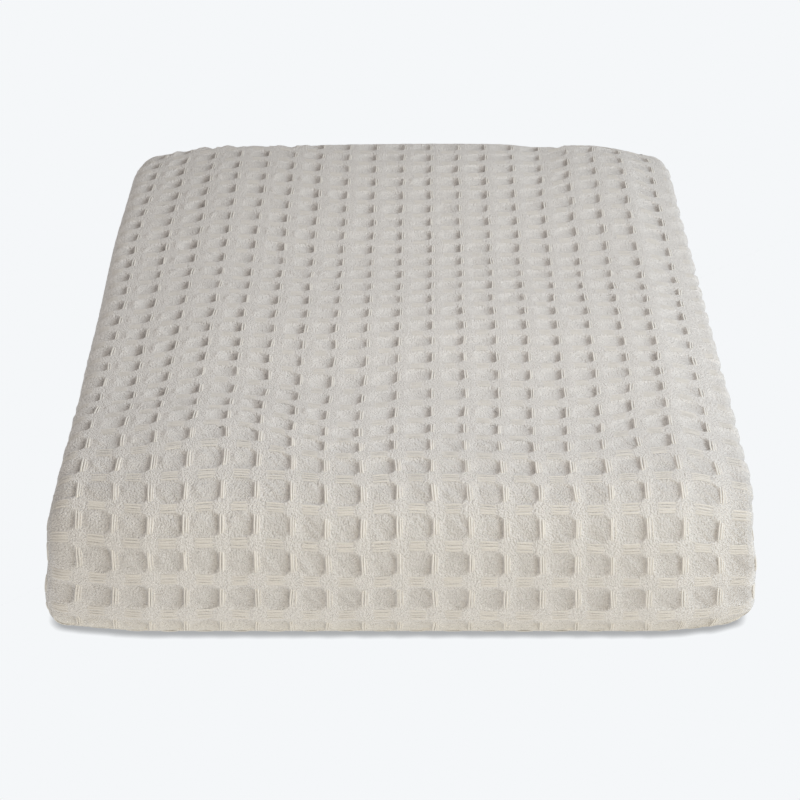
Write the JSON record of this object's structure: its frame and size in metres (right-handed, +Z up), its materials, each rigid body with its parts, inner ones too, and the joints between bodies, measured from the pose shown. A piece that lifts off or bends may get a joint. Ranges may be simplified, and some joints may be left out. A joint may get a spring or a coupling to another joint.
{
  "type": "folded waffle weave cotton blanket",
  "caption": "Waffle weave cotton blanket, folded in quarters across and along into a soft flat stack with a rounded front fold.",
  "frame": {"origin": "middle of the underside, on the surface that the stack rests on", "axes": "+X across the stack to the right, +Y from the rounded front fold to the back, +Z up through the layers"},
  "size_m": [0.3846, 0.5249, 0.092],
  "materials": {
    "cotton": "matt waffle weave, undyed ivory beige"
  },
  "bodies": {
    "root": {"blanket": "cotton"}
  },
  "joints": []
}
